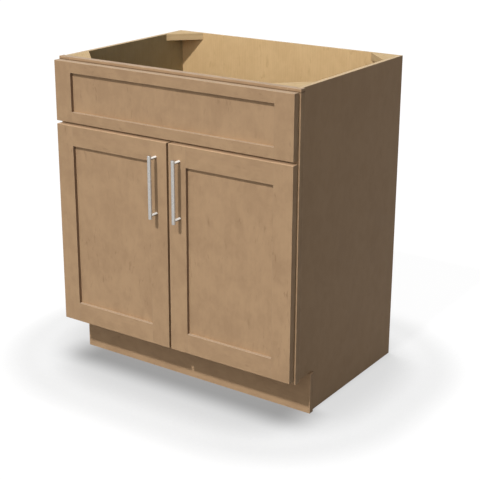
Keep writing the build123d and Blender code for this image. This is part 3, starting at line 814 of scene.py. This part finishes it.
def pull(side, nickel, post_nickel):
    """Makes one door's bar and posts, turned about the middles of the nodes that they replace."""
    body = f"{side}_door"
    right = np.array([1.0, 0.0, 0.0])
    rear = np.array([0.0, 1.0, 0.0])
    up = np.array([0.0, 0.0, 1.0])
    low, high = [np.array(corner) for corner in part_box(f"{side}_pull_bar")]
    middle = (low + high) / 2
    radii, heights = rounded_rod((high[0] - low[0]) / 2, high[2] - low[2], BAR_EASING, BAR_CROWN)
    foot = np.array([middle[0], middle[1], low[2]])
    points, faces = turned_points(radii, heights, BAR_SEGMENTS, foot, up, right)
    bar = put_mesh(f"{side}_bar", points, faces, nickel, body, "satin_nickel")
    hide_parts(f"{side}_pull_bar")

    low, high = [np.array(corner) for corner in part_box(f"{side}_pull_posts")]
    radius = (high[0] - low[0]) / 2
    radii, heights = rounded_rod(radius, high[1] - low[1], POST_FOOT, 0.0)
    shapes = []
    for level in (low[2] + radius, high[2] - radius):
        root = np.array([(low[0] + high[0]) / 2, low[1], level])
        shapes.append(turned_points(radii, heights, POST_SEGMENTS, root, rear, up))
    posts = put_mesh(f"{side}_posts", *joined(shapes), post_nickel, body, "satin_nickel")
    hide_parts(f"{side}_pull_posts")


def highlight_share(name):
    """Returns the share of the painted highlight on a stained board's upper face."""
    if name.startswith("frame"):
        return FRAME_TOP_HIGHLIGHT
    if name.endswith("bottom_rail"):
        return LEDGE_HIGHLIGHT
    if name.startswith("false_front"):
        return FRONT_TOP_HIGHLIGHT
    return DOOR_TOP_HIGHLIGHT


def finish_boards():
    """Gives every board its finish, with the grain along its length."""
    across_boards = ["toe_kick_board", "frame_top_rail", "frame_mid_rail", "frame_bottom_rail",
                     "false_front_top_rail", "false_front_bottom_rail"]
    upright_boards = ["frame_left_stile", "frame_right_stile", "false_front_left_stile",
                      "false_front_right_stile", "false_front_panel"]
    for door in ("left_door", "right_door"):
        across_boards += [f"{door}_top_rail", f"{door}_bottom_rail"]
        upright_boards += [f"{door}_hinge_stile", f"{door}_lock_stile", f"{door}_panel"]
    for boards, turn in ((across_boards, ALONG_X), (upright_boards, ALONG_Z)):
        for name in boards:
            give(name, stained_board(name, turn, highlight_share(name)))
            ease(name, BOARD_EASING)

    for name, outward in {"left_side_panel": -1, "right_side_panel": 1}.items():
        give(name, side_board(name, outward))
        ease(name, BOARD_EASING)
    natural_boards = {"back_panel": ALONG_Z, "floor_panel": ALONG_X, "sub_toe_rail": ALONG_X}
    for name, turn in natural_boards.items():
        give(name, natural_board(name, turn))
        ease(name, BOARD_EASING)

    blocks = {
        "front_left_corner_block": DIAGONAL_DOWN,
        "rear_right_corner_block": DIAGONAL_DOWN,
        "front_right_corner_block": DIAGONAL_UP,
        "rear_left_corner_block": DIAGONAL_UP,
    }
    for name, turn in blocks.items():
        give(name, sawn_board(name, turn, BLOCK_PALE, BLOCK_DARK))
        ease(name, BOARD_EASING)
    give("frame_dowels", sawn_board("frame_dowels", ALONG_X, BEECH_PALE, BEECH_DARK))


def finish_metal():
    """Gives the hinges, screws and pads their finishes."""
    steel = brushed_metal("hinge steel", ALONG_Z, STEEL_PALE, STEEL_DARK, STEEL_SCRATCHES, STEEL_ROUGHNESS)
    zinc = brushed_metal("zinc", ALONG_Y, ZINC_PALE, ZINC_DARK, ZINC_SCRATCHES, ZINC_ROUGHNESS)
    rubber = clear_rubber()
    zinc_nodes = ["false_front_screws", "hinge_plate_screws"]
    rubber_nodes = ["false_front_pads"]
    for side in ("left", "right"):
        give(f"{side}_hinge_pins", steel)
        for level in ("lower", "upper"):
            for part in ("arm", "cup"):
                name = f"{side}_{level}_hinge_{part}"
                give(name, steel)
                ease(name, STEEL_EASING)
        zinc_nodes += [f"{side}_hinge_cup_screws", f"{side}_pull_screws"]
        rubber_nodes.append(f"{side}_door_bumpers")
    for name in zinc_nodes:
        give(name, zinc)
    for name in rubber_nodes:
        give(name, rubber)


def seen_ray(tree):
    """Returns 1 for a ray from the camera, a reflection or through glass, and 0 for scattered light."""
    path = tree.nodes.new("ShaderNodeLightPath").outputs
    seen = maths(tree, "ADD", path["Is Camera Ray"], path["Is Glossy Ray"])
    return maths(tree, "ADD", seen, path["Is Transmission Ray"], clamp=True)


def floor_light(tree):
    """Returns the share of the floor's glow that its painted shadow leaves beside and under the cabinet.

    The openness of the floor, which has a least value around the foot, is multiplied with what two painted
    soft shadows leave of it: a band between the toe kick and the fronts, and a rim that rises and falls
    with the distance from the rectangle under the cabinet, whose corners are rounded.
    """
    fields = {"Distance": FLOOR_SHADOW_REACH}
    openness = add(tree, "ShaderNodeAmbientOcclusion", fields, samples=FLOOR_SHADOW_SAMPLES)
    place = add(tree, "ShaderNodeTexCoord").outputs["Object"]
    split = add(tree, "ShaderNodeSeparateXYZ", {"Vector": place}).outputs
    aside = maths(tree, "ABSOLUTE", split["X"])
    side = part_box("right_side_panel")[1][0]
    half_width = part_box("toe_kick_board")[1][0]
    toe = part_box("toe_kick_board")[0][1]
    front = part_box("left_door_panel")[0][1]
    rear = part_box("back_panel")[1][1]

    beyond_side = ramp(tree, aside, side - FOOT_BLUR, side)
    beyond_toe = ramp(tree, split["Y"], toe, toe + FOOT_BLUR, 1.0, 0.0)
    outside = maths(tree, "MAXIMUM", beyond_side, beyond_toe)
    least = maths(tree, "MULTIPLY", outside, LEAST_OPENNESS)
    lifted = maths(tree, "SMOOTH_MAX", openness.outputs["AO"], least, OPENNESS_EASING)

    ends = ramp(tree, aside, half_width - BAND_OUTSET, half_width + BAND_OUTSET, BAND_SHARE, 0.0)
    outer = ramp(tree, split["Y"], front - BAND_BLUR, front + BAND_BLUR)
    inner = ramp(tree, split["Y"], toe, toe + BAND_BLUR, 1.0, 0.0)
    band = maths(tree, "MULTIPLY", maths(tree, "MULTIPLY", outer, inner), ends)

    core_width = half_width - RIM_ROUNDING
    core_depth = (rear - front) / 2 - RIM_ROUNDING
    beside = maths(tree, "MAXIMUM", maths(tree, "SUBTRACT", aside, core_width), 0.0)
    from_middle = maths(tree, "ABSOLUTE", maths(tree, "SUBTRACT", split["Y"], (front + rear) / 2))
    before = maths(tree, "MAXIMUM", maths(tree, "SUBTRACT", from_middle, core_depth), 0.0)
    squares = maths(tree, "MULTIPLY_ADD", beside, beside, maths(tree, "MULTIPLY", before, before))
    away = maths(tree, "SUBTRACT", maths(tree, "SQRT", squares), RIM_ROUNDING)
    rise = ramp(tree, away, RIM_START, RIM_PEAK, 0.0, RIM_SHARE)
    rim = maths(tree, "MULTIPLY", rise, ramp(tree, away, RIM_PEAK, RIM_END, 1.0, 0.0))

    left = maths(tree, "MULTIPLY", maths(tree, "SUBTRACT", 1.0, band), maths(tree, "SUBTRACT", 1.0, rim))
    return maths(tree, "MULTIPLY", lifted, left)


def floor():
    """Makes a pale round floor that keeps the shadow, with more shadow painted in its glow, white beyond
    it.
    """
    angles = np.linspace(0, 2 * math.pi, FLOOR_SEGMENTS, endpoint=False)
    drop = np.full(FLOOR_SEGMENTS, -FLOOR_DROP)
    points = np.stack([FLOOR_REACH * np.cos(angles), FLOOR_REACH * np.sin(angles), drop], axis=-1)
    mesh = bpy.data.meshes.new("floor")
    mesh.from_pydata(points.tolist(), [], [list(range(FLOOR_SEGMENTS))])
    piece = bpy.data.objects.new("floor", mesh)
    bpy.context.scene.collection.objects.link(piece)

    material = bpy.data.materials.new("floor")
    material.use_nodes = True
    tree = material.node_tree
    tree.nodes.clear()
    bounce = add(tree, "ShaderNodeBsdfDiffuse", {"Color": (FLOOR_BOUNCE, FLOOR_BOUNCE, FLOOR_BOUNCE, 1.0)})
    pale = add(tree, "ShaderNodeBsdfDiffuse", {"Color": (FLOOR_SEEN, FLOOR_SEEN, FLOOR_SEEN, 1.0)})
    strength = maths(tree, "MULTIPLY", floor_light(tree), FLOOR_GLOW)
    glow = add(tree, "ShaderNodeEmission", {"Color": WHITE, "Strength": strength})
    white = add(tree, "ShaderNodeAddShader", {0: pale.outputs[0], 1: glow.outputs[0]})
    mixed = add(tree, "ShaderNodeMixShader", {0: seen_ray(tree), 1: bounce.outputs[0], 2: white.outputs[0]})
    output = tree.nodes.new("ShaderNodeOutputMaterial")
    tree.links.new(mixed.outputs[0], output.inputs["Surface"])
    mesh.materials.append(material)


def far_lamp(name, elevation, azimuth, spread, strength):
    """Makes a far lamp so high above the floor, and so far round to the right from the front."""
    lamp = bpy.data.lights.new(name, "SUN")
    lamp.energy = strength
    lamp.angle = spread
    piece = bpy.data.objects.new(name, lamp)
    piece.rotation_euler = (QUARTER_TURN - elevation, 0.0, azimuth)
    bpy.context.scene.collection.objects.link(piece)


def studio():
    """Lights the cabinet with a key, fills from three sides, and an even fill from the world."""
    far_lamp("key", KEY_ELEVATION, KEY_AZIMUTH, KEY_SPREAD, KEY_STRENGTH)
    far_lamp("front fill", FRONT_FILL_ELEVATION, 0.0, FRONT_FILL_SPREAD, FRONT_FILL_STRENGTH)
    far_lamp("side fill", SIDE_FILL_ELEVATION, SIDE_FILL_AZIMUTH, SIDE_FILL_SPREAD, SIDE_FILL_STRENGTH)
    far_lamp("rear fill", REAR_FILL_ELEVATION, REAR_FILL_AZIMUTH, REAR_FILL_SPREAD, REAR_FILL_STRENGTH)

    world = bpy.data.worlds.new("studio")
    world.use_nodes = True
    tree = world.node_tree
    tree.nodes.clear()
    fill = add(tree, "ShaderNodeBackground", {"Color": WHITE, "Strength": FILL_STRENGTH})
    white = add(tree, "ShaderNodeBackground", {"Color": WHITE, "Strength": 1.0})
    mixed = add(tree, "ShaderNodeMixShader", {0: seen_ray(tree), 1: fill.outputs[0], 2: white.outputs[0]})
    output = tree.nodes.new("ShaderNodeOutputWorld")
    tree.links.new(mixed.outputs[0], output.inputs["Surface"])
    bpy.context.scene.world = world


def camera():
    """Places the camera at the photograph's viewing angle."""
    data = bpy.data.cameras.new("camera")
    data.lens = CAMERA_LENS
    data.sensor_width = CAMERA_SENSOR
    data.shift_x, data.shift_y = CAMERA_SHIFT
    eye = bpy.data.objects.new("camera", data)
    eye.location = CAMERA_PLACE
    eye.rotation_euler = (QUARTER_TURN - CAMERA_DROP, 0.0, CAMERA_AZIMUTH)
    bpy.context.scene.collection.objects.link(eye)
    bpy.context.scene.camera = eye


camera()
studio()
floor()
finish_boards()
finish_metal()
bar_nickel = bar_metal()
post_nickel = post_metal()
for door_side in ("left", "right"):
    pull(door_side, bar_nickel, post_nickel)

bpy.context.scene.view_settings.view_transform = "Standard"
